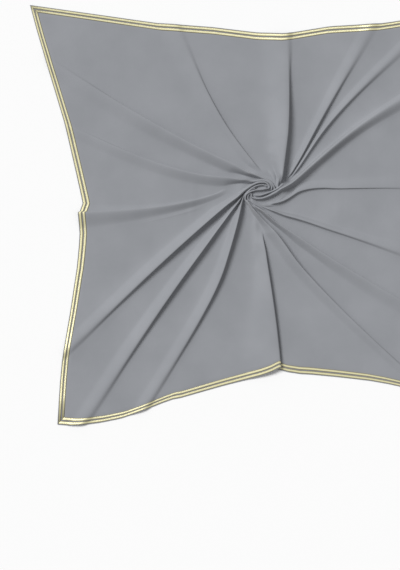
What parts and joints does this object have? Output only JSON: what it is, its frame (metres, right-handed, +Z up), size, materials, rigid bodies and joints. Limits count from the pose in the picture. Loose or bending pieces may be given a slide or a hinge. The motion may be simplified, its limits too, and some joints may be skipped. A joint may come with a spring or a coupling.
{
  "type": "square headscarf laid flat with its middle twisted into a swirl",
  "caption": "Plain square headscarf with a metallic ribbon border, laid flat and twisted in the middle into a swirl of radiating folds.",
  "frame": {"origin": "middle of the bounding box at its base, on the surface that the scarf lies on", "axes": "+Z up from that surface, +Y towards the hem that lies away from the viewer, +X to the viewer's right"},
  "size_m": [1.099, 1.0092, 0.0235],
  "materials": {
    "crepe": "matte grey crepe with a fine weave",
    "ribbon": "pale gold metallic woven ribbon"
  },
  "bodies": {
    "root": {"scarf_cloth": "crepe", "ribbon_outer_top": "ribbon", "ribbon_inner_top": "ribbon", "ribbon_outer_left": "ribbon", "ribbon_inner_left": "ribbon", "ribbon_outer_bottom": "ribbon", "ribbon_inner_bottom": "ribbon", "ribbon_outer_right": "ribbon", "ribbon_inner_right": "ribbon"}
  },
  "joints": []
}
